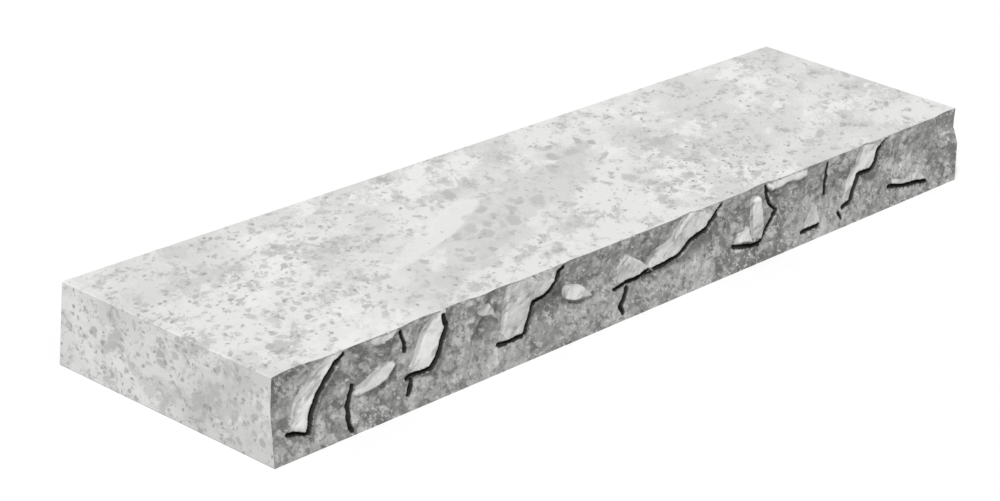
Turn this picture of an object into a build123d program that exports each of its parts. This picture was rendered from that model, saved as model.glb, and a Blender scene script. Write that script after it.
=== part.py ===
"""Wall coping: one block of stone with a sawn top, bed, back and ends, and a split front face.

The frame is +X along the wall, -Y out of the split face and +Z up, with the origin under the
middle of the block. All lengths are millimetres.
"""

from build123d import *

import os
import random
from math import sqrt

# Block
LENGTH = 1219.0
DEPTH = 305.0
THICKNESS = 92.0
ARRIS = 1.5

# Split face: how far it stands out from the top arris, and at what height
RELIEF = 13.5
FOOT = 11.0
WAIST = 1.0
WAIST_HEIGHT = 57.0
PITCHED_HEIGHT = 18.0
FOOT_CHIP_HEIGHT = 6.0

# Scallops: broad shallow hollows in the ground between the flakes
SCALLOP_SPACING = 60.0
SCALLOP_ROWS = 2
SCALLOP_RADII = (110.0, 190.0)
SCALLOP_MIN_DEPTH = 1.0
SCALLOP_MAX_DEPTH = 2.4
SCALLOP_MARGIN = 12.0
SCALLOP_SEED = 11

# Fissures: narrow cracks, cut this far behind the straight line from the top arris to the foot. Most
# flakes have one of their own, which follows the broken edge a little way in from it and runs out past
# its lower end. None reaches the top arris.
FISSURE_WIDTH = 3.5
FISSURE_DEPTH = 8.0
FISSURE_INSET = 3.0
FISSURE_TOP = 95

# Flakes: plates of stone left standing proud, rooted this far inside their own outer face. The side of
# each outer face lies a little under the ground.
FLAKE_ROOT = 24.0
FLAKE_SINK = 1.2

# Each flake has a broken edge, which stands furthest out, and a side, where its outer face runs back
# into the ground. The two lists go once round the flake, clockwise from its right-hand end, in
# percentages of the length and the thickness. `crest` is how far the middle of the broken edge stands
# out from the top arris.
FLAKES = {
    "first": dict(
        broken=[(8.6, 102), (7.4, 87), (6.4, 73), (5.5, 60), (4.7, 45), (4.0, 21), (2.5, 26)],
        side=[(2.9, 43), (4.0, 71), (7.0, 102)],
        crest=8.0,
    ),
    "lens": dict(
        broken=[(14.6, 61), (13.2, 49), (11.9, 44), (10.1, 40)],
        side=[(9.6, 44), (9.9, 54), (12.2, 58)],
        crest=6.5,
    ),
    "left chip": dict(
        broken=[(14.1, 94), (12.9, 91), (12.0, 93)],
        side=[(11.4, 102), (15.4, 102)],
        crest=3.5,
    ),
    "hooked": dict(
        broken=[(20.6, 102), (20.7, 79), (19.9, 64), (19.4, 51), (18.7, 39), (16.6, 35)],
        side=[(16.4, 40), (18.1, 72), (20.2, 102)],
        crest=8.0,
    ),
    "rib": dict(
        broken=[(28.2, 50), (27.5, 64), (26.4, 72), (25.2, 74)],
        side=[(24.6, 84), (24.4, 91), (26.2, 86)],
        crest=5.0,
    ),
    "double": dict(
        broken=[(36.4, 102), (35.1, 90), (33.9, 75), (33.1, 69), (31.9, 66), (30.8, 31), (28.2, 28)],
        side=[(28.1, 36), (28.6, 61), (29.0, 102)],
        crest=8.0,
    ),
    "blob": dict(
        broken=[(40.0, 48), (38.1, 49), (36.9, 52)],
        side=[(36.8, 63), (37.7, 69), (38.8, 64)],
        crest=6.0,
    ),
    "wedge": dict(
        broken=[(48.6, 49), (46.9, 44), (45.1, 43), (43.9, 40)],
        side=[(43.5, 55), (43.7, 73), (44.9, 81)],
        crest=7.0,
    ),
    "long": dict(
        broken=[(59.4, 102), (57.6, 85), (56.4, 72), (54.3, 65), (52.5, 52), (50.9, 47), (48.4, 43)],
        side=[(48.8, 53), (51.2, 75), (55.2, 102)],
        crest=8.0,
    ),
    "splinter": dict(
        broken=[(64.0, 33), (62.4, 35)],
        side=[(62.6, 42), (63.7, 55)],
        crest=7.5,
    ),
    "sliver": dict(
        broken=[(65.3, 84), (65.6, 59), (65.7, 41), (65.5, 32)],
        side=[(64.6, 34), (64.5, 80)],
        crest=7.0,
    ),
    "right chip": dict(
        broken=[(72.5, 91), (69.5, 92), (66.8, 90)],
        side=[(67.0, 102), (73.5, 102)],
        crest=4.5,
    ),
    "low ledge": dict(
        broken=[(75.4, 16), (72.9, 13)],
        side=[(73.0, 30), (74.8, 54)],
        crest=10.5,
    ),
    "stepped": dict(
        broken=[(87.0, 102), (85.2, 87), (84.5, 72), (83.8, 63), (82.1, 59), (80.7, 29), (80.0, 25)],
        side=[(80.1, 44), (80.9, 76), (83.7, 102)],
        crest=8.0,
    ),
    "end ledge": dict(
        broken=[(94.8, 13), (88.2, 25)],
        side=[(88.6, 36), (93.2, 31)],
        crest=11.2,
    ),
    "end shoulder": dict(
        broken=[(102, 55), (97.0, 53)],
        side=[(96.0, 68), (102, 74)],
        crest=7.0,
    ),
    "end foot": dict(
        broken=[(102, 56), (102, -2)],
        side=[(98.2, -2), (94.0, 50)],
        crest=11.7,
    ),
}

# The flakes with a fissure of their own
CRACKED_FLAKES = ("first", "hooked", "double", "wedge", "long", "low ledge", "stepped", "end ledge")

# The routes of the other fissures, in the same percentages
FISSURES = {
    "lower left": [(9.5, 56), (9.4, 46), (8.9, 32), (8.8, 18), (9.2, 3)],
    "upper left": [(15.1, 95), (15.5, 81), (15.7, 67)],
    "tail of the hook": [(16.5, 33), (16.3, 27), (15.9, 16)],
    "under the wedge": [(45.2, 38), (44.7, 27), (44.1, 17), (44.6, 5)],
    "sickle": [(66.3, 95), (67.3, 69), (68.2, 58), (67.1, 41), (65.5, 25), (64.0, 26), (61.3, 32)],
    "upper right": [(76.5, 95), (76.5, 78), (76.3, 51)],
    "tick": [(78.6, 22), (79.2, 11)],
}

# A round scar where one chip sprang off, as its middle, its radius and its depth
SCAR_MIDDLE = (26.0, 40)
SCAR_RADIUS = 28.0
SCAR_DEPTH = 6.0

TOP_ARRIS_Y = -DEPTH / 2 + RELIEF
BACK_Y = DEPTH / 2


def on_face(point, out=0.0):
    """A point given in percentages of the split face, standing out from the top arris by `out`."""
    along, up = point
    return Vector((along / 100 - 0.5) * LENGTH, TOP_ARRIS_Y - out, up / 100 * THICKNESS)


def ground_out(height):
    """How far the ground of the split face stands out at a height."""
    if height > WAIST_HEIGHT:
        return WAIST * (THICKNESS - height) / (THICKNESS - WAIST_HEIGHT)
    return FOOT + (WAIST - FOOT) * height / WAIST_HEIGHT


def ball_centre(x, height, radius, depth):
    """Where a ball's centre lies for the ball to dip into the ground by a depth."""
    if height > WAIST_HEIGHT:
        lean = WAIST / (THICKNESS - WAIST_HEIGHT)
    else:
        lean = (FOOT - WAIST) / WAIST_HEIGHT
    ground = Vector(x, TOP_ARRIS_Y - ground_out(height), height)
    return ground + Vector(0, -1, lean).normalized() * (radius - depth)


def scallop_places():
    """The centres of the scallops for each radius, one in each cell of a loose grid."""
    dice = random.Random(SCALLOP_SEED)
    columns = round(LENGTH / SCALLOP_SPACING)
    places = {radius: [] for radius in SCALLOP_RADII}
    for column in range(columns):
        for row in range(SCALLOP_ROWS):
            radius = dice.choice(SCALLOP_RADII)
            depth = dice.uniform(SCALLOP_MIN_DEPTH, SCALLOP_MAX_DEPTH)
            x = (column + dice.random()) / columns * LENGTH - LENGTH / 2
            height = (row + dice.random()) / SCALLOP_ROWS * THICKNESS
            clear = sqrt(2 * radius * depth) + SCALLOP_MARGIN
            height = max(min(height, THICKNESS - clear), clear)
            places[radius].append(ball_centre(x, height, radius, depth))
    return places


def block_section(front):
    """The block's section, at its left end, with front points as (out from the top arris, height)."""
    points = [(BACK_Y, 0), (BACK_Y, THICKNESS)]
    points += [(TOP_ARRIS_Y - out, height) for out, height in front]
    with BuildSketch(Plane.YZ.offset(-LENGTH / 2)) as section:
        with BuildLine():
            Polyline(*points, close=True)
        make_face()
    return section.sketch


def flake_plane(broken, side, crest):
    """The plane of a flake's outer face: just under the ground at both ends of its side, out at its crest."""
    ends = [(point, ground_out(on_face(point).Z)) for point in (side[0], side[-1])]
    first, last = (on_face(point, out - FLAKE_SINK) for point, out in ends)
    middle = sum((on_face(point, crest) for point in broken), Vector()) / len(broken)
    return Plane(origin=middle, z_dir=(middle - first).cross(last - first))


def inside_edge(broken):
    """The route of a flake's own fissure: up and to the left of its broken edge, and out past its end."""
    inset = Vector(-FISSURE_INSET, 0, FISSURE_INSET / 2)
    route = [on_face(point) + inset for point in broken]
    run_out = (route[-1] - route[-2]).normalized() * 2 * FISSURE_INSET
    return route + [route[-1] + run_out]


def straight_out(foot, plane):
    """Where a point moved straight out of the split face meets a plane, in that plane's own frame."""
    out = (foot - plane.origin).dot(plane.z_dir) / plane.z_dir.Y
    return plane.to_local_coords(foot - Vector(0, out, 0))


os.makedirs("parts", exist_ok=True)

# As far as any stone reaches: pitched back to a straight arris at the top and chipped at the foot
pitched_front = [
    (0, THICKNESS),
    (RELIEF, THICKNESS - PITCHED_HEIGHT),
    (RELIEF, FOOT_CHIP_HEIGHT),
    (FOOT, 0),
]
with BuildPart() as envelope:
    extrude(block_section(pitched_front), amount=LENGTH)
    back_edges = envelope.edges().group_by(Axis.Y)[-1]
    end_edges = envelope.edges().filter_by(Axis.Y)
    fillet(back_edges + end_edges, ARRIS)

ground_front = [(0, THICKNESS), (WAIST, WAIST_HEIGHT), (FOOT, 0)]
with BuildPart() as coping_stone:
    # Ground of the split face, with its scallops and its scar
    extrude(block_section(ground_front), amount=LENGTH)
    for radius, places in scallop_places().items():
        with Locations(*places):
            Sphere(radius, mode=Mode.SUBTRACT)
    scar_ball = (SCAR_RADIUS**2 + SCAR_DEPTH**2) / (2 * SCAR_DEPTH)
    scar = on_face(SCAR_MIDDLE)
    with Locations(ball_centre(scar.X, scar.Z, scar_ball, SCAR_DEPTH)):
        Sphere(scar_ball, mode=Mode.SUBTRACT)

    # Flakes standing on the ground
    for flake in FLAKES.values():
        outer_face = flake_plane(**flake)
        outline = [straight_out(on_face(point), outer_face) for point in flake["broken"] + flake["side"]]
        with BuildSketch(outer_face):
            with BuildLine():
                Polyline(*outline, close=True)
            make_face()
        extrude(amount=-FLAKE_ROOT)

    add(envelope.part, mode=Mode.INTERSECT)

    # Fissures, sketched behind the ground and cut outwards through it
    behind_arris = Vector(0, TOP_ARRIS_Y + FISSURE_DEPTH, THICKNESS)
    behind_ground = Plane(origin=behind_arris, z_dir=(0, -THICKNESS, FOOT))
    routes = [inside_edge(FLAKES[name]["broken"]) for name in CRACKED_FLAKES]
    routes += [[on_face(point) for point in route] for route in FISSURES.values()]
    for route in routes:
        below_arris = [Vector(p.X, p.Y, min(p.Z, FISSURE_TOP / 100 * THICKNESS)) for p in route]
        with BuildSketch(behind_ground):
            with BuildLine():
                Polyline(*[straight_out(point, behind_ground) for point in below_arris])
            trace(line_width=FISSURE_WIDTH)
        extrude(amount=FISSURE_DEPTH + 2 * RELIEF, mode=Mode.SUBTRACT)

coping_stone.part.label = "coping_stone"
export_step(coping_stone.part, "parts/coping_stone.step")
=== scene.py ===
# %% [markdown]
# # A wall coping with a split face
#
# A coping is the slab that caps a wall and sheds its rain. This one is a single block of pale
# limestone. Its top, bed, back and ends were sawn, so they are flat and mottled. Its front was split
# off with wedges, so it is rough, with thin flakes of stone left standing on it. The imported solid
# gives every size, and this lesson dresses it with fine relief, stone and light.

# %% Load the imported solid
import math

import bmesh
import bpy
from mathutils import Matrix, Vector
from mathutils.bvhtree import BVHTree


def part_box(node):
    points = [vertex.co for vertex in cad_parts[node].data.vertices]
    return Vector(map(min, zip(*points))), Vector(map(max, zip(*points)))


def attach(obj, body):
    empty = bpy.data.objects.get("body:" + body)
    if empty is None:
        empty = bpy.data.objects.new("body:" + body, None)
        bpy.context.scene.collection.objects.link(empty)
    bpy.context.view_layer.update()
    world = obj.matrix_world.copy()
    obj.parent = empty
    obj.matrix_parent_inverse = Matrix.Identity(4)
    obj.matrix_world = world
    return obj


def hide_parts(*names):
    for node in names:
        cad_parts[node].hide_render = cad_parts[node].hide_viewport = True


MM_IN_METRE = 1000

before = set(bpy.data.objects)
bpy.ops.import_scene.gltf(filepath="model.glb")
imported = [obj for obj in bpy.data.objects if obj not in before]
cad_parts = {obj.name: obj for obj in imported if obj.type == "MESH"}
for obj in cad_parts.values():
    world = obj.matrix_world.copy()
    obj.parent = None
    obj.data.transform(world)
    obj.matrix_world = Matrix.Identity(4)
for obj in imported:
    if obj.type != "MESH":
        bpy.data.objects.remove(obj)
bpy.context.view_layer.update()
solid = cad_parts["coping_stone"]
low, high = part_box("coping_stone")
size = high - low
middle = (low + high) / 2
print("block", [round(MM_IN_METRE * side) for side in size], "mm")

# %% [markdown]
# ## The camera
#
# The picture looks down on the block from beyond its left end. A long lens keeps the far end from
# shrinking much. The camera could be tracked to an empty, but a place worked out from angles is
# easier to read: it stands back from an aim point by a distance, and rolls a little about its own
# axis because the drawing's upright edges lean.

# %% Camera
AZIMUTH = math.radians(-51.83)
ELEVATION = math.radians(22.44)
ROLL = math.radians(5.18)
DISTANCE = 3.2754
AIM = Vector((-0.0472, 0.0447, 0.0125))
LENS_MM = 104.7

back = Vector((
    math.sin(AZIMUTH) * math.cos(ELEVATION),
    -math.cos(AZIMUTH) * math.cos(ELEVATION),
    math.sin(ELEVATION),
))
bpy.ops.object.camera_add()
camera = bpy.context.active_object
camera.rotation_mode = "QUATERNION"
facing = (-back).to_track_quat("-Z", "Y")
camera.rotation_quaternion = facing @ Matrix.Rotation(ROLL, 3, "Z").to_quaternion()
camera.location = AIM + back * DISTANCE
camera.data.lens = LENS_MM
bpy.context.scene.camera = camera
print("camera at", [round(place, 3) for place in camera.location])

# %% [markdown]
# ## The sawn block
#
# The stone starts as a cube scaled to the solid's box, and its sawn faces stay plain, because a saw
# leaves them flat. Only the split face needs a fine mesh. One subdivide of the whole long front would
# give long thin cells, so the long edges are first cut into slices about as wide as the block is
# thick.

# %% Cube and slices
SLICES = 13


def choose(block, kind, test):
    """Select the vertices, edges or faces of a mesh in edit mode that pass a test."""
    bpy.ops.mesh.select_mode(type=kind)
    bpy.ops.mesh.select_all(action="DESELECT")
    mesh = bmesh.from_edit_mesh(block.data)
    elements = {"VERT": mesh.verts, "EDGE": mesh.edges, "FACE": mesh.faces}[kind]
    for element in elements:
        element.select_set(test(element))
    bmesh.update_edit_mesh(block.data)


def is_long(edge):
    """Whether an edge runs the length of the block."""
    start, end = (vertex.co for vertex in edge.verts)
    return abs(start.x - end.x) > size.x / 2


bpy.ops.object.select_all(action="DESELECT")
bpy.ops.mesh.primitive_cube_add(size=1, location=middle)
stone = bpy.context.active_object
stone.name = "dressed_coping"
stone.scale = size
bpy.ops.object.transform_apply(location=True, rotation=True, scale=True)

bpy.ops.object.mode_set(mode="EDIT")
choose(stone, "EDGE", is_long)
bpy.ops.mesh.subdivide(number_cuts=SLICES - 1)
print("slices", SLICES, "of", round(MM_IN_METRE * size.x / SLICES), "mm")

# %% [markdown]
# ## A fine grid for the split face
#
# Each slice now has a nearly square front, and a subdivide turns all of them into one even grid, fine
# enough for chips of a few millimetres. While the fine faces are selected, they are put in a vertex
# group and a material slot of their own and shaded smooth, so that nothing later has to find them
# again.

# %% Fine front
CELLS = 80
LOOKS_FORWARD = -0.9

choose(stone, "FACE", lambda face: face.normal.y < LOOKS_FORWARD)
bpy.ops.mesh.subdivide(number_cuts=CELLS - 1)
stone.vertex_groups.new(name="split_face")
bpy.ops.object.vertex_group_assign()
# The slot that is added last is the active one, and the chosen faces take it
for finish in ("sawn", "split"):
    bpy.ops.object.material_slot_add()
bpy.ops.object.material_slot_assign()
bpy.ops.mesh.faces_shade_smooth()
print("faces", len(bmesh.from_edit_mesh(stone.data).faces))

# %% [markdown]
# ## The split face
#
# The grid is moved out in front of the solid and thrown straight back onto it with a Shrinkwrap, as
# one presses clay onto a mould. Points exactly on the block's rim would miss the solid, so the grid is
# drawn in a little first and let out again afterwards. The places where the points landed are kept,
# because the next steps ask the solid about them.

# %% Project the front onto the solid
IN_FRONT = 0.002
END_INSET = 0.002
ARRIS_INSET = 0.0001
DRAWN_IN = Vector((1 - 2 * END_INSET / size.x, 1, 1 - 2 * ARRIS_INSET / size.z))

bpy.ops.transform.resize(value=DRAWN_IN, center_override=middle)
bpy.ops.transform.translate(value=(0, -IN_FRONT, 0))
bpy.ops.object.mode_set(mode="OBJECT")
mould = stone.modifiers.new("mould", "SHRINKWRAP")
mould.target = solid
mould.wrap_method = "PROJECT"
mould.use_project_y = True
mould.use_positive_direction = True
mould.vertex_group = "split_face"
bpy.ops.object.modifier_apply(modifier=mould.name)
landed = {vertex.index: vertex.co.copy() for vertex in stone.data.vertices if vertex.groups}
front = list(landed)

bpy.ops.object.mode_set(mode="EDIT")
bpy.ops.mesh.select_all(action="DESELECT")
bpy.ops.object.vertex_group_select()
let_out = Vector([1 / share for share in DRAWN_IN])
bpy.ops.transform.resize(value=let_out, center_override=middle)
bpy.ops.object.mode_set(mode="OBJECT")
furthest = min(place.y for place in landed.values())
print("split face", len(front), "points, furthest out", round(furthest, 4))

# %% [markdown]
# ## Which stone is pale
#
# The flakes are paler than the ground, partly as fresh stone and partly as painted light, because the
# facets that are chosen are those that face the lamp. They could be painted by hand, but the solid knows
# where they are, because each is one of its facets. Its mesh is loose triangles, so a copy of it is
# merged first, and the triangles that lie in one plane are then joined.

# %% Facets of the solid
WELD = 1e-5
COPLANAR = math.radians(0.5)

bpy.ops.object.select_all(action="DESELECT")
solid.select_set(True)
bpy.context.view_layer.objects.active = solid
bpy.ops.object.duplicate()
facets = bpy.context.active_object
bpy.ops.object.mode_set(mode="EDIT")
bpy.ops.mesh.select_all(action="SELECT")
bpy.ops.mesh.remove_doubles(threshold=WELD)
bpy.ops.mesh.dissolve_limited(angle_limit=COPLANAR)
bpy.ops.object.mode_set(mode="OBJECT")
print("facets", len(facets.data.polygons))

# %% [markdown]
# ## The flakes among the facets
#
# The flakes are the large flat facets that lean to the left or look up, towards the lamp, apart from
# the pitched strip under the top arris and the weathered right-hand end. They are chosen for facing the
# lamp, so the pale colour they get is partly painted light. Their numbers are kept, and a search tree of
# all the facets is made for the rays of the next step, so the copy isn't needed any more.

# %% Choose the flakes
FLAKE_AREA = 180e-6
FLAKE_FACING = -0.5
FLAKE_LEAN = 0.22
PITCH_LEAN = 0.57
PITCHED_STRIP = 0.022
WEATHERED_END = 0.05


def is_flake(facet):
    """Whether a facet of the solid is the outer face of a flake that faces the lamp, to be painted pale.
    """
    outer = facet.area > FLAKE_AREA and facet.normal.y < FLAKE_FACING
    leans = facet.normal.z - facet.normal.x > FLAKE_LEAN
    pitched = facet.normal.z > PITCH_LEAN and facet.center.z > high.z - PITCHED_STRIP
    at_end = facet.center.x > high.x - WEATHERED_END
    return outer and leans and not pitched and not at_end


flakes ={facet.index for facet in facets.data.polygons if is_flake(facet)}
facet_finder = BVHTree.FromPolygons(
    [vertex.co for vertex in facets.data.vertices],
    [facet.vertices for facet in facets.data.polygons],
)
bpy.data.objects.remove(facets)
print("flakes", len(flakes))

# %% [markdown]
# ## Points on the flakes
#
# Each point of the front sends a ray to the solid and asks which facet it lies on. It asks again a few
# millimetres down to the right, because fresh stone runs on past the line where a flake sinks into the
# ground. A ray that misses the solid keeps the point's own place.

# %% Ask which points are fresh
INWARD = Vector((0, 1, 0))
RAY_START = 0.02
RUN_OUT = Vector((0.003, 0, -0.0015))
RUN_OUT_STEPS = 3


def beside(place, step):
    """Where the solid lies one step beside a place on it, and the facet there."""
    hit = facet_finder.ray_cast(place + step - RAY_START * INWARD, INWARD)
    return hit[0] or place, hit[2]


def takes_flake_colour(place):
    """Whether a place lies on a flake or just beyond its sunken side."""
    return any(beside(place, steps * RUN_OUT)[1] in flakes for steps in range(RUN_OUT_STEPS))


on_flakes = {i for i, place in landed.items() if takes_flake_colour(place)}
print("points on flakes", len(on_flakes))

# %% [markdown]
# ## Painted shade by the cracks
#
# The stone in a crack and just right of it is painted dark, as painted shade. A point there finds the
# stone falling away a little to its left or above it. The side of a flake falls away too, so the stone
# has to rise again on a second bank. The narrow lip between a crack and a broken edge doesn't take the
# pale flake colour either, and the same question finds it from further off.

# %% Ask which points get painted shade
TO_CRACK = [Vector((-0.9, 0, 0.45)), Vector((-1, 0, 0)), Vector((0, 0, 1))]
SHADE_REACH = 0.0016
LIP = 0.0036
CRACK_ACROSS = 0.0055
CRACK_DROP = 0.0025


def right_of_crack(place, reach):
    """Whether a crack with two banks lies this far to the left of a place or above it."""
    for way in TO_CRACK:
        bed = beside(place, reach * way)[0].y
        far_bank = beside(place, (reach + CRACK_ACROSS) * way)[0].y
        if bed - max(place.y, far_bank) > CRACK_DROP:
            return True
    return False


def in_crack(place):
    """Whether the stone rises from a place on both sides."""
    for way in TO_CRACK:
        banks = [beside(place, side * LIP * way)[0].y for side in (-1, 1)]
        if place.y - max(banks) > CRACK_DROP:
            return True
    return False


# These points are painted dark as shade in and beside the cracks
painted_shade = {i for i, place in landed.items() if right_of_crack(place, SHADE_REACH) or in_crack(place)}
lips = {i for i in on_flakes if right_of_crack(landed[i], LIP)}
print("bruised points", len(painted_shade), "points on lips", len(lips))

# %% [markdown]
# ## Soft borders
#
# A point is either fresh or not, so the borders would follow the grid in small steps. Kept as a vertex
# group and smoothed over its neighbours, each answer becomes a weight from none to one.

# %% Soften the marks
FLAKE_COLOUR_ROUNDS = 9
SHADE_ROUNDS = 5


def soften_mark(name, members, rounds):
    """Keep a set of points as a smoothed vertex group, and give back the weights."""
    group = stone.vertex_groups.new(name=name)
    for i in front:
        group.add([i], float(i in members), "REPLACE")
    stone.vertex_groups.active = group
    bpy.ops.object.mode_set(mode="EDIT")
    bpy.ops.mesh.select_all(action="SELECT")
    bpy.ops.object.vertex_group_smooth(group_select_mode="ACTIVE", factor=0.5, repeat=rounds)
    bpy.ops.object.mode_set(mode="OBJECT")
    mark = stone.vertex_groups[name].index
    vertices = stone.data.vertices
    return {i: sum(g.weight for g in vertices[i].groups if g.group == mark) for i in front}


bpy.ops.object.select_all(action="DESELECT")
stone.select_set(True)
bpy.context.view_layer.objects.active = stone
# The pale flakes, partly fresh stone and partly painted light on the facets that face the lamp
fresh_and_lit_weight = soften_mark("fresh_and_lit_mark", on_flakes - painted_shade - lips, FLAKE_COLOUR_ROUNDS)
# The painted shade of the cracks, softened into a weight
painted_shade_weight = soften_mark("painted_shade_mark", painted_shade, SHADE_ROUNDS)
print("more fresh than not", sum(weight > 0.5 for weight in fresh_and_lit_weight.values()))

# %% [markdown]
# ## Smoothing in depth
#
# Each point of the grid landed on one side of a broken edge or the other, which leaves small steps, so
# the front is smoothed a little, in depth alone. Two vertex groups say how strong the relief of the
# next step may be. Both fall to nothing at the arrises, which stay straight, and the second is also
# weaker on the flakes, which broke cleanly.

# %% Smooth the front
RIM = 0.006
HELD = 1e-4
CALM = 0.6
FIRST_ROUNDS = 2


def off_rim(place):
    """How far a point of the front lies from the block's outline."""
    return min(place.x - low.x, high.x - place.x, place.z - low.z, high.z - place.z)


def smooth_front(block, rounds):
    """Smooth the front of a block in depth, with its rim held."""
    bpy.ops.object.mode_set(mode="EDIT")
    choose(block, "VERT", lambda vertex: off_rim(vertex.co) > HELD)
    bpy.ops.mesh.vertices_smooth(factor=0.5, repeat=rounds, xaxis=False, yaxis=True, zaxis=False)
    bpy.ops.object.mode_set(mode="OBJECT")


points = stone.data.vertices
inside = stone.vertex_groups.new(name="inside")
rough = stone.vertex_groups.new(name="rough")
for i in front:
    share = min(1, off_rim(points[i].co) / RIM)
    inside.add([i], share, "REPLACE")
    rough.add([i], share * (1 - CALM * fresh_and_lit_weight[i]), "REPLACE")
smooth_front(stone, FIRST_ROUNDS)
print("smoothed", FIRST_ROUNDS, "times, calm on the flakes by", CALM)

# %% [markdown]
# ## Rough stone
#
# Splitting leaves lumps the size of a thumb, chips the size of a fingernail and grains of sand. They
# could be sculpted, but each of them is one Displace with its own texture, which is quick to change.
# The first Displace shifts points sideways too, so that the straight runs of the broken edges wander
# as real fractures do.

# %% Relief
RELIEF = {
    "wander": dict(group="inside", direction="RGB_TO_XYZ", kind="CLOUDS", scale=0.026, strength=0.004),
    "lumps": dict(group="rough", direction="Y", kind="VORONOI", scale=0.019, strength=0.0024),
    "chips": dict(group="rough", direction="Y", kind="CLOUDS", scale=0.008, strength=0.002),
    "grains": dict(group="rough", direction="Y", kind="CLOUDS", scale=0.0028, strength=0.0008),
}

for name, relief in RELIEF.items():
    texture = bpy.data.textures.new(name, relief["kind"])
    texture.noise_scale = relief["scale"]
    if relief["direction"] == "RGB_TO_XYZ":
        texture.cloud_type = "COLOR"
    modifier = stone.modifiers.new(name, "DISPLACE")
    modifier.texture = texture
    modifier.texture_coords = "LOCAL"
    modifier.direction = relief["direction"]
    modifier.vertex_group = relief["group"]
    modifier.strength = relief["strength"]
    bpy.ops.object.modifier_apply(modifier=name)
print("relief", list(RELIEF))

# %% [markdown]
# ## Hollows
#
# The material paints shade, as dark colour, into cracks and at the feet of steps, and ridges are rubbed
# pale. A copy of the mesh is smoothed until the small relief is gone, and how far each point lies behind
# the smooth copy says how deep it sits in a hollow. This is kept in millimetres as an attribute for the
# material. Stone marked for painted shade counts as a hollow of a set depth, and an open hollow as a
# millimetre at most.

# %% Measure the hollows
SOFT_ROUNDS = 60
SHADED_FROM = 0.1
SHADE_DEPTH = 2.6
OPEN_DEPTH = 1

bpy.ops.object.duplicate()
soft = bpy.context.active_object
smooth_front(soft, SOFT_ROUNDS)
points = stone.data.vertices
hollow = stone.data.attributes.new("hollow", "FLOAT", "POINT")
for i in front:
    depth = MM_IN_METRE * (points[i].co.y - soft.data.vertices[i].co.y)
    # Points under painted shade get at least a set depth, so the material paints them dark
    if painted_shade_weight[i] > SHADED_FROM:
        hollow.data[i].value = max(depth, SHADE_DEPTH * painted_shade_weight[i])
    else:
        hollow.data[i].value = min(depth, OPEN_DEPTH)
bpy.data.objects.remove(soft)
depths = sorted(hollow.data[i].value for i in front)
print("hollows, mm", [round(depths[int(share * len(depths))], 2) for share in (0.01, 0.1, 0.5, 0.9, 0.99)])

# %% [markdown]
# ## The pale flakes
#
# The pale of the flakes becomes an attribute as well, so that the material can read it from the mesh.
# It fades over the last few millimetres below the top arris, which leaves a grey strip along its whole
# length, and there is none of it on the lips beside the cracks.

# %% Keep the pale flakes
ARRIS_FADE = 0.004

# Kept for the material: the pale of the flakes, partly painted light
pale_and_lit = stone.data.attributes.new("pale_and_lit", "FLOAT", "POINT")
for i in front:
    below_arris = min(1, (high.z - points[i].co.z) / ARRIS_FADE)
    pale_and_lit.data[i].value = 0 if i in lips else fresh_and_lit_weight[i] * below_arris
print("pale share of the front", round(sum(pale_and_lit.data[i].value for i in front) / len(front), 3))

# %% [markdown]
# ## Arrises
#
# A sawn arris is never quite sharp: it is rubbed down so that it doesn't chip. The edges of the back
# and of the ends are bevelled by a millimetre, which catches a thin line of light. The edges of the
# split face are left as they broke, and the steep ones are marked sharp, so that they look crisp.

# %% Bevel the sawn arrises
ARRIS = 0.001
CORNER = math.radians(60)
CRISP = math.radians(50)


def is_sawn_arris(edge):
    """Whether an edge turns a corner and reaches the back of the block."""
    return edge.calc_face_angle() > CORNER and max(vertex.co.y for vertex in edge.verts) > middle.y


stone.select_set(True)
bpy.context.view_layer.objects.active = stone
bpy.ops.object.mode_set(mode="EDIT")
choose(stone, "EDGE", is_sawn_arris)
print("arris edges", sum(edge.select for edge in bmesh.from_edit_mesh(stone.data).edges))
bpy.ops.mesh.bevel(offset=ARRIS, segments=2, affect="EDGES")
choose(stone, "EDGE", lambda edge: edge.calc_face_angle() > CRISP)
bpy.ops.mesh.mark_sharp()
bpy.ops.object.mode_set(mode="OBJECT")

# %% [markdown]
# ## Colour and scale
#
# All the patterns of the stone are procedural and sit on the object's own coordinates, so they run
# through the block as bedding does. A written colour becomes Blender's linear light. A size in
# millimetres becomes a texture scale by dividing it into a metre.

# %% Colour and scale helpers
def linear(code):
    """A written colour such as #DDDDDC as the linear light that a shader takes."""
    shares = [int(code[i : i + 2], 16) / 255 for i in (1, 3, 5)]
    light = [share / 12.92 if share <= 0.04045 else ((share + 0.055) / 1.055) ** 2.4 for share in shares]
    return (*light, 1)


def per_metre(millimetres):
    """The texture scale that makes a pattern of a size."""
    return MM_IN_METRE / millimetres


print("mid grey gives", round(linear("#808080")[0], 3), "of full light")

# %% [markdown]
# ## Sawn limestone
#
# The saw left these faces flat, so nearly all that the eye sees on them is colour. A material is a tree
# of nodes. One small function adds a node, sets it and links it, so that each step of the stone below
# can be read by itself.

# %% A node and a surface
def add_node(tree, kind, settings, inputs):
    """Add a node, set its properties, and set its inputs or link other nodes to them."""
    node = tree.nodes.new("ShaderNode" + kind)
    for name, value in settings.items():
        setattr(node, name, value)
    live = [socket for socket in node.inputs if socket.enabled]
    for name, value in inputs.items():
        socket = live[name] if isinstance(name, int) else next(s for s in live if s.name == name)
        if isinstance(value, bpy.types.Node):
            value = next(output for output in value.outputs if output.enabled)
        if isinstance(value, bpy.types.NodeSocket):
            tree.links.new(value, socket)
        else:
            socket.default_value = value
    return node


def new_surface(name):
    """A material with its tree, its shader and the object's coordinates."""
    material = bpy.data.materials.new(name)
    material.use_nodes = True
    tree = material.node_tree
    place = add_node(tree, "TexCoord", {}, {}).outputs["Object"]
    return material, tree, tree.nodes["Principled BSDF"], place


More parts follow.
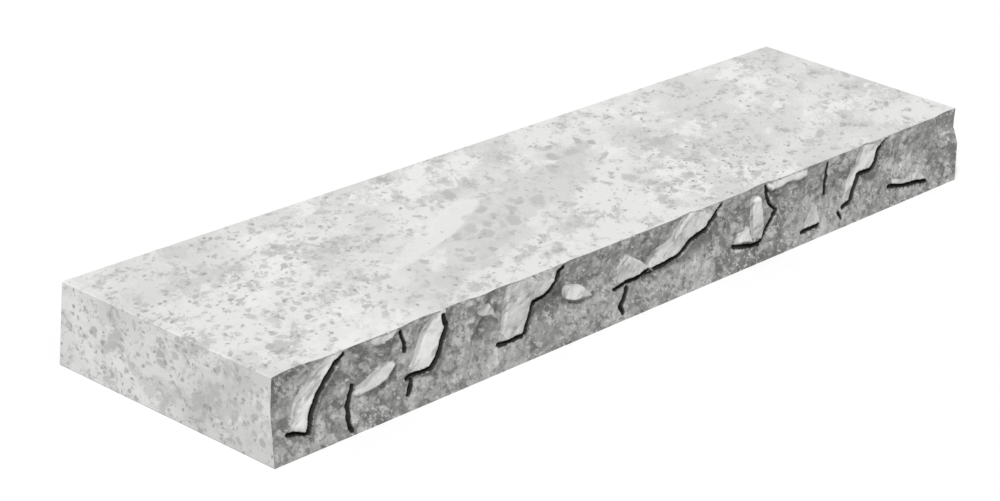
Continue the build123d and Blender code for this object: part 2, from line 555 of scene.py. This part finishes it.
# Sawn limestone is matt and even, and its mottling is all in the colour
sawn, tree, shader, place = new_surface("sawn limestone")
print(sawn.name, "starts from", [node.name for node in tree.nodes])

# %% [markdown]
# ## Bedding
#
# The stone was laid down in beds, and its patterns are drawn out along them. A Mapping node turns and
# stretches the coordinates that every pattern of these faces uses. Before that, a noise shifts the
# coordinates by a few millimetres, which makes every outline uneven.

# %% Bedding
BEDDING = math.radians(33)
STRETCH = (1.3, 0.85, 0.85)
WAVE_MM = 16
DRIFT = 0.010

wave = add_node(tree, "TexNoise", {}, {"Vector": place, "Scale": per_metre(WAVE_MM), "Detail": 4})
centred = add_node(tree, "VectorMath", {"operation": "SUBTRACT"}, {
    0: wave.outputs["Color"],
    1: (0.5, 0.5, 0.5),
})
wavy = add_node(tree, "VectorMath", {"operation": "MULTIPLY_ADD"}, {
    0: centred,
    1: (DRIFT, DRIFT, DRIFT),
    2: place,
})
bedded = add_node(tree, "Mapping", {"vector_type": "TEXTURE"}, {
    "Vector": wavy,
    "Rotation": (0, 0, BEDDING),
    "Scale": STRETCH,
})
print("bedding at", round(math.degrees(BEDDING)), "degrees, waves of", WAVE_MM, "mm")

# %% [markdown]
# ## Clouds
#
# Mottling is clouds of several sizes, from a hand down to a coin, that lie over one another. Each is a
# noise whose middle levels are spread to a soft border, and it mixes its own grey into the colour so
# far. A table of patches is easier to tune than a long tree, and the split face uses the same function.

# %% Clouds
SAWN_GROUND = "#E8E8E7"
# Size in mm, raggedness, the levels where a patch starts and is full, strength and colour
SAWN_PATCHES = [
    (170, 0.55, 0.46, 0.58, 0.85, "#D9D9D8"),
    (90, 0.75, 0.53, 0.58, 0.70, "#CECECD"),
    (120, 0.75, 0.53, 0.60, 0.85, "#F0F0EF"),
    (40, 0.80, 0.52, 0.64, 0.80, "#BEBEBD"),
    (22, 0.80, 0.54, 0.65, 0.75, "#AAAAA9"),
]


def lay_patches(tree, place, colour, patches):
    """Lay a table of cloudy patches over a colour."""
    for millimetres, ragged, start, end, strength, code in patches:
        cloud = add_node(tree, "TexNoise", {}, {
            "Vector": place,
            "Scale": per_metre(millimetres),
            "Detail": 5,
            "Roughness": ragged,
        })
        share = add_node(tree, "MapRange", {"interpolation_type": "SMOOTHSTEP"}, {
            "Value": cloud,
            "From Min": start,
            "From Max": end,
            "To Max": strength,
        })
        colour = add_node(tree, "Mix", {"data_type": "RGBA"}, {
            "Factor": share,
            "A": colour,
            "B": linear(code),
        })
    return colour


colour = lay_patches(tree, bedded, linear(SAWN_GROUND), SAWN_PATCHES)
print("sawn patches", [patch[0] for patch in SAWN_PATCHES], "mm")

# %% [markdown]
# ## Zones of the bed
#
# The top shows one slanting band of greyer stone with a pale streak along its far side. Each is a soft
# round gradient, stretched and turned into a long zone, and a noise frays it. A zone only says how near
# a point is to its middle, from none at its border, and is used for colour here and for crowding in the
# next step.

# %% Zones
ZONES = {
    "band": dict(place=(-0.112, -0.008), reach=(0.30, 0.058), turn=math.radians(18)),
    "streak": dict(place=(-0.205, 0.006), reach=(0.14, 0.020), turn=math.radians(20)),
    "left": dict(place=(-0.430, 0.020), reach=(0.24, 0.20), turn=0.0),
    "right": dict(place=(0.180, -0.065), reach=(0.26, 0.09), turn=0.0),
    "end": dict(place=(-0.610, 0.000), reach=(0.05, 0.40), turn=0.0),
}
FRAY_MM = 35

fray = add_node(tree, "TexNoise", {}, {"Vector": bedded, "Scale": per_metre(FRAY_MM), "Detail": 4})
fray_share = add_node(tree, "MapRange", {}, {
    "Value": fray,
    "From Min": 0.35,
    "From Max": 0.65,
    "To Min": 0.1,
    "To Max": 1.9,
})
nearness = {}
for name, zone in ZONES.items():
    zone_frame = add_node(tree, "Mapping", {"vector_type": "TEXTURE"}, {
        "Vector": wavy,
        "Location": (*zone["place"], high.z),
        "Rotation": (0, 0, zone["turn"]),
        "Scale": (*zone["reach"], 1),
    })
    gradient = add_node(tree, "TexGradient", {"gradient_type": "SPHERICAL"}, {"Vector": zone_frame})
    nearness[name] = add_node(tree, "Math", {"operation": "MULTIPLY"}, {0: gradient, 1: fray_share})
print("zones", list(ZONES))

# %% [markdown]
# ## Band and streak
#
# Two of the zones have a colour of their own. The band is a little greyer than the stone round it, and
# the streak is paler. They come before the clasts, which lie in them and cover them.

# %% Band and streak
ZONE_COLOURS = {"band": (0.7, "#D2D2D1"), "streak": (0.8, "#ECECEB")}

for name, (strength, code) in ZONE_COLOURS.items():
    share = add_node(tree, "MapRange", {"interpolation_type": "SMOOTHSTEP"}, {
        "Value": nearness[name],
        "From Max": 0.3,
        "To Max": strength,
    })
    colour = add_node(tree, "Mix", {"data_type": "RGBA"}, {
        "Factor": share,
        "A": colour,
        "B": linear(code),
    })
print("coloured zones", list(ZONE_COLOURS))

# %% [markdown]
# ## Kinds of clast
#
# The saw cuts through pieces of an older, greyer limestone, called clasts, that lie in the paler stone.
# Large clasts fill the band, small ones lie in clusters to the left, and crumbs speckle the end. A few
# of each kind are scattered everywhere. The zones add to that, and along the streak they take away.

# %% Kinds of clast
CLASTS = {
    "large": dict(
        millimetres=24,
        scattered=0.02,
        crowding=dict(band=1.5, right=0.5, streak=-3.0),
        tones=("#B8B8B7", "#CACAC9"),
    ),
    "small": dict(
        millimetres=12,
        scattered=0.03,
        crowding=dict(left=0.6, end=0.15, band=0.3, streak=-3.0),
        tones=("#B8B8B7", "#CACAC9"),
    ),
    "crumbs": dict(
        millimetres=6,
        scattered=0.02,
        crowding=dict(left=0.10, end=0.16, right=0.25, streak=-3.0),
        tones=("#A0A09F", "#B6B6B5"),
    ),
}
crowds = {name: kind["scattered"] for name, kind in CLASTS.items()}
for name, kind in CLASTS.items():
    for zone, weight in kind["crowding"].items():
        crowds[name] = add_node(tree, "Math", {"operation": "MULTIPLY_ADD"}, {
            0: nearness[zone],
            1: weight,
            2: crowds[name],
        })
print("clasts", {name: kind["millimetres"] for name, kind in CLASTS.items()}, "mm")

# %% [markdown]
# ## Laying the clasts
#
# Clasts are blunt polygons with thin pale seams, which is what the cells of a Voronoi texture look
# like. Each cell has a random colour. Its first part says whether the cell holds a clast, which is
# likelier where they crowd, its second how wide the seam is, and its third the tone of grey.

# %% Lay the clasts
CLAST_REACH = 0.55
BLUNTNESS = 0.12

for name, kind in CLASTS.items():
    grid = {"Vector": bedded, "Scale": per_metre(kind["millimetres"])}
    cell = add_node(tree, "TexVoronoi", {}, grid)
    seam = add_node(tree, "TexVoronoi", {"feature": "DISTANCE_TO_EDGE"}, grid)
    chance = add_node(tree, "SeparateColor", {}, {"Color": cell.outputs["Color"]})
    rarity = add_node(tree, "Math", {"operation": "SUBTRACT", "use_clamp": True}, {
        0: 1.0,
        1: crowds[name],
    })
    chosen = add_node(tree, "Math", {"operation": "GREATER_THAN"}, {0: chance.outputs[0], 1: rarity})
    gap = add_node(tree, "MapRange", {}, {"Value": chance.outputs[1], "To Min": 0.03, "To Max": 0.18})
    off_seam = add_node(tree, "Math", {"operation": "SUBTRACT"}, {0: seam, 1: gap})
    off_middle = add_node(tree, "Math", {"operation": "SUBTRACT"}, {
        0: CLAST_REACH,
        1: cell.outputs["Distance"],
    })
    inner = add_node(tree, "Math", {"operation": "SMOOTH_MIN"}, {
        0: off_seam,
        1: off_middle,
        2: BLUNTNESS,
    })
    clast = add_node(tree, "MapRange", {"interpolation_type": "SMOOTHSTEP"}, {
        "Value": inner,
        "From Min": -0.05,
        "From Max": 0.16,
        "To Max": 0.85,
    })
    share = add_node(tree, "Math", {"operation": "MULTIPLY"}, {0: clast, 1: chosen})
    tone = add_node(tree, "Mix", {"data_type": "RGBA"}, {
        "Factor": chance.outputs[2],
        "A": linear(kind["tones"][0]),
        "B": linear(kind["tones"][1]),
    })
    colour = add_node(tree, "Mix", {"data_type": "RGBA"}, {"Factor": share, "A": colour, "B": tone})
print(sawn.name, "has", len(tree.nodes), "nodes so far")

# %% [markdown]
# ## Pits
#
# Small dark pits are scattered over the sawn faces, where a grain fell out under the saw. A Voronoi
# texture with small cells places them. Most cells have none, and in the others the chance of the cell
# also says how far its pit reaches.

# %% Pits
PIT_MM = 9
PIT_STRENGTH = 0.45
PIT_SHADE = "#A0A09F"

pit_cell = add_node(tree, "TexVoronoi", {}, {"Vector": bedded, "Scale": per_metre(PIT_MM)})
pit_chance = add_node(tree, "SeparateColor", {}, {"Color": pit_cell.outputs["Color"]})
pit_reach = add_node(tree, "MapRange", {}, {
    "Value": pit_chance.outputs[0],
    "From Min": 0.8,
    "To Max": 0.28,
})
pit = add_node(tree, "Math", {"operation": "LESS_THAN"}, {0: pit_cell.outputs["Distance"], 1: pit_reach})
pit_share = add_node(tree, "Math", {"operation": "MULTIPLY"}, {0: pit, 1: PIT_STRENGTH})
colour = add_node(tree, "Mix", {"data_type": "RGBA"}, {
    "Factor": pit_share,
    "A": colour,
    "B": linear(PIT_SHADE),
})
tree.links.new(colour.outputs[2], shader.inputs["Base Color"])
print("pits in cells of", PIT_MM, "mm")

# %% [markdown]
# ## Grain
#
# A sawn face scatters light from its grain, so it has hardly any shine. A fine noise varies the
# roughness a little, and a slight bump raises the grain and lowers the pits.

# %% Grain
# Real grain is under a millimetre, and is drawn coarser here so that it shows
GRAIN_MM = 2.5

grain = add_node(tree, "TexNoise", {}, {"Vector": place, "Scale": per_metre(GRAIN_MM), "Detail": 2})
roughness = add_node(tree, "MapRange", {}, {"Value": grain, "To Min": 0.66, "To Max": 0.92})
tree.links.new(roughness.outputs[0], shader.inputs["Roughness"])
height = add_node(tree, "Math", {"operation": "SUBTRACT"}, {0: grain, 1: pit})
bump = add_node(tree, "Bump", {}, {"Strength": 0.3, "Distance": 0.0005, "Height": height})
tree.links.new(bump.outputs[0], shader.inputs["Normal"])
shader.inputs["Specular IOR Level"].default_value = 0.3
print(sawn.name, "has", len(tree.nodes), "nodes")

# %% [markdown]
# ## Split limestone
#
# The split face is greyer: partly its own weathered tone, and partly painted shade for the small shadows
# in its roughness. Blotches, flecks and grains break the grey up at sizes from a hand down to a crumb.
# They are the same cloudy patches as before, with their own table and their own slant, which follows
# the run of the fractures.

# %% Weathered ground with painted shade
GROUND_SLANT = math.radians(27)
GROUND_STRETCH = (1.5, 1, 1)
# Its own weathered grey, darkened further as painted shade of its rough surface
GROUND = "#A8A8A6"
GROUND_PATCHES = [
    (110, 0.60, 0.46, 0.56, 0.90, "#8E8E8D"),
    (60, 0.60, 0.47, 0.57, 0.90, "#BEBEBC"),
    (36, 0.65, 0.53, 0.60, 0.80, "#7E7E7D"),
    (26, 0.65, 0.54, 0.58, 0.85, "#D2D2D0"),
    (12, 0.60, 0.54, 0.61, 0.75, "#CACAC8"),
    (8, 0.60, 0.55, 0.63, 0.65, "#747473"),
    (5, 0.60, 0.56, 0.62, 0.80, "#DADAD8"),
    (3, 0.60, 0.56, 0.64, 0.50, "#6E6E6D"),
]

# Split limestone is rough and dull, and its hollows are painted dark as shade
split, tree, shader, place = new_surface("split limestone")
along_grain = add_node(tree, "Mapping", {"vector_type": "TEXTURE"}, {
    "Vector": place,
    "Rotation": (0, GROUND_SLANT, 0),
    "Scale": GROUND_STRETCH,
})
ground_colour = lay_patches(tree, along_grain, linear(GROUND), GROUND_PATCHES)
print("ground patches", [patch[0] for patch in GROUND_PATCHES], "mm")

# %% [markdown]
# ## Pale flakes
#
# The flakes are nearly white, partly because they broke cleanly and hold little dust, and partly as
# painted light on the facets that face the lamp. Their faint marks run down their length, so they have a
# slant and a stretch of their own, and fewer patches than the ground.

# %% Pale flakes, partly painted light
FLAKE_SLANT = math.radians(-35)
FLAKE_STRETCH = (2.2, 1, 0.8)
# Near-white flake colour: fresh stone, and painted light on the facets that face the lamp
FRESH_AND_LIT_FLAKE = "#E6E6E4"
FLAKE_PATCHES = [
    (40, 0.60, 0.46, 0.58, 0.90, "#D4D4D2"),
    (18, 0.60, 0.54, 0.59, 0.60, "#B6B6B4"),
    (9, 0.60, 0.57, 0.62, 0.60, "#A2A2A0"),
    (6, 0.60, 0.56, 0.62, 0.70, "#F0F0EE"),
]

along_flake = add_node(tree, "Mapping", {"vector_type": "TEXTURE"}, {
    "Vector": place,
    "Rotation": (0, FLAKE_SLANT, 0),
    "Scale": FLAKE_STRETCH,
})
fresh_and_lit_colour = lay_patches(tree, along_flake, linear(FRESH_AND_LIT_FLAKE), FLAKE_PATCHES)
print("flake patches", [patch[0] for patch in FLAKE_PATCHES], "mm")

# %% [markdown]
# ## Ragged borders
#
# The attribute of the pale flakes, partly painted light, says where they are. A border that follows the
# mesh would be too clean, so a noise is added to the attribute before the threshold, and the border
# wanders as a real one does.

# %% Ragged borders
RAGGED_MM = 14
RAGGED_SHARE = 0.9

pale_and_lit_value =add_node(tree, "Attribute", {"attribute_name": "pale_and_lit"}, {}).outputs["Fac"]
ragged = add_node(tree, "TexNoise", {}, {"Vector": place, "Scale": per_metre(RAGGED_MM), "Detail": 4})
ragged_pale = add_node(tree, "Math", {"operation": "MULTIPLY_ADD"}, {
    0: ragged,
    1: RAGGED_SHARE,
    2: pale_and_lit_value,
})
pale_and_lit_share = add_node(tree, "MapRange", {"interpolation_type": "SMOOTHSTEP"}, {
    "Value": ragged_pale,
    "From Min": 0.80,
    "From Max": 0.98,
})
colour = add_node(tree, "Mix", {"data_type": "RGBA"}, {
    "Factor": pale_and_lit_share,
    "A": ground_colour,
    "B": fresh_and_lit_colour,
})
print("borders ragged by", RAGGED_MM, "mm patches")

# %% [markdown]
# ## Ridges and cracks
#
# The hollow attribute lightens the ridges a little, where the stone is rubbed, and paints shade into
# the cracks as a near-black colour. Both are thresholds on the depth in millimetres. Ridges lie in front
# of the smooth copy, so their depth is below nothing.

# %% Ridges and cracks
# The depths in mm where a mark starts and is full, its strength and its colour
DEPTH_MARKS = [
    (-0.4, -1.6, 0.25, "#D6D6D4"),
    # Painted shade: the cracks and the feet of steps are coloured near-black
    (0.5, 2.0, 0.97, "#161616"),
]

hollow_value = add_node(tree, "Attribute", {"attribute_name": "hollow"}, {}).outputs["Fac"]
for start, end, strength, code in DEPTH_MARKS:
    share = add_node(tree, "MapRange", {"interpolation_type": "SMOOTHSTEP"}, {
        "Value": hollow_value,
        "From Min": start,
        "From Max": end,
        "To Max": strength,
    })
    colour = add_node(tree, "Mix", {"data_type": "RGBA"}, {
        "Factor": share,
        "A": colour,
        "B": linear(code),
    })
tree.links.new(colour.outputs[2], shader.inputs["Base Color"])
print("depth marks", [mark[:2] for mark in DEPTH_MARKS], "mm")

# %% [markdown]
# ## Grit
#
# Broken grains stand out of a split face like coarse sandpaper. The mesh holds the relief down to a few
# millimetres, and a bump gives the grit, which would need far too many faces.

# %% Grit
# Real grit is finer, and is drawn coarse enough to show
GRIT_MM = 1.6

grit = add_node(tree, "TexNoise", {}, {"Vector": place, "Scale": per_metre(GRIT_MM), "Detail": 3})
roughness = add_node(tree, "MapRange", {}, {"Value": grit, "To Min": 0.78, "To Max": 0.98})
tree.links.new(roughness.outputs[0], shader.inputs["Roughness"])
bump = add_node(tree, "Bump", {}, {"Strength": 0.5, "Distance": 0.0008, "Height": grit})
tree.links.new(bump.outputs[0], shader.inputs["Normal"])
shader.inputs["Specular IOR Level"].default_value = 0.25
print(split.name, "has", len(tree.nodes), "nodes")

# %% [markdown]
# ## Both stones on the block
#
# One mesh can wear several materials, and each face says which slot it takes. The slots were made with
# the block, so here they only have to be filled.

# %% Fill the slots
for slot, finish in zip(stone.material_slots, (sawn, split)):
    slot.material = finish
faces = stone.data.polygons
print("split faces", sum(face.material_index for face in faces), "of", len(faces))

# %% [markdown]
# ## The floor
#
# The block stands on a plain floor, which is white to the camera and greyer to the stone, so that
# little light comes back up from it. A Light Path node tells the two apart. Rays that a shiny or clear
# thing would send count as the camera's, so that it would show the same white.

# %% Floor
FLOOR_SIZE = 40
FLOOR_SHADE = "#A8A8A8"
WHITE = "#FFFFFF"

bpy.ops.mesh.primitive_plane_add(size=FLOOR_SIZE)
floor = bpy.context.active_object
floor.name = "floor"
# Matt paint has no shine, so that the floor shows nothing but the block's shadow
paint, tree, shader, place = new_surface("matt floor paint")
ray = add_node(tree, "LightPath", {}, {})
seen = ray.outputs["Is Camera Ray"]
for kind in ("Is Glossy Ray", "Is Transmission Ray"):
    seen = add_node(tree, "Math", {"operation": "ADD", "use_clamp": True}, {0: seen, 1: ray.outputs[kind]})
colour = add_node(tree, "Mix", {"data_type": "RGBA"}, {
    "Factor": seen,
    "A": linear(FLOOR_SHADE),
    "B": linear(WHITE),
})
tree.links.new(colour.outputs[2], shader.inputs["Base Color"])
shader.inputs["Roughness"].default_value = 1
shader.inputs["Specular IOR Level"].default_value = 0
floor.data.materials.append(paint)
print("floor", FLOOR_SIZE, "m across")

# %% [markdown]
# ## The light
#
# A sun with a wide disc stands for a large soft lamp far off to the left, so the long block is lit
# evenly from end to end, and it rakes across the split face. A pale world fills the shadows. To the
# camera it is white, as the floor is.

# %% Sun and sky
SUN_FROM = Vector((-0.55, -0.28, 0.78))
SUN_STRENGTH = 2.7
SUN_WIDTH = math.radians(14)
SKY = 0.34

bpy.ops.object.light_add(type="SUN")
sun = bpy.context.active_object
sun.data.energy = SUN_STRENGTH
sun.data.angle = SUN_WIDTH
sun.rotation_mode = "QUATERNION"
sun.rotation_quaternion = (-SUN_FROM).to_track_quat("-Z", "Y")

world = bpy.data.worlds.new("studio")
bpy.context.scene.world = world
world.use_nodes = True
sky = world.node_tree.nodes["Background"]
sky.inputs["Color"].default_value = linear(WHITE)
ray = add_node(world.node_tree, "LightPath", {}, {})
level = add_node(world.node_tree, "MapRange", {}, {"Value": ray.outputs["Is Camera Ray"], "To Min": SKY})
world.node_tree.links.new(level.outputs[0], sky.inputs["Strength"])
print("sun from", [round(part, 2) for part in SUN_FROM], "sky", SKY)

# %% [markdown]
# ## The dressed block in place
#
# The dressed block stands for the imported solid and rides on its body.

# %% Finish
bpy.context.scene.view_settings.view_transform = "Standard"
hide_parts("coping_stone")
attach(stone, "root")
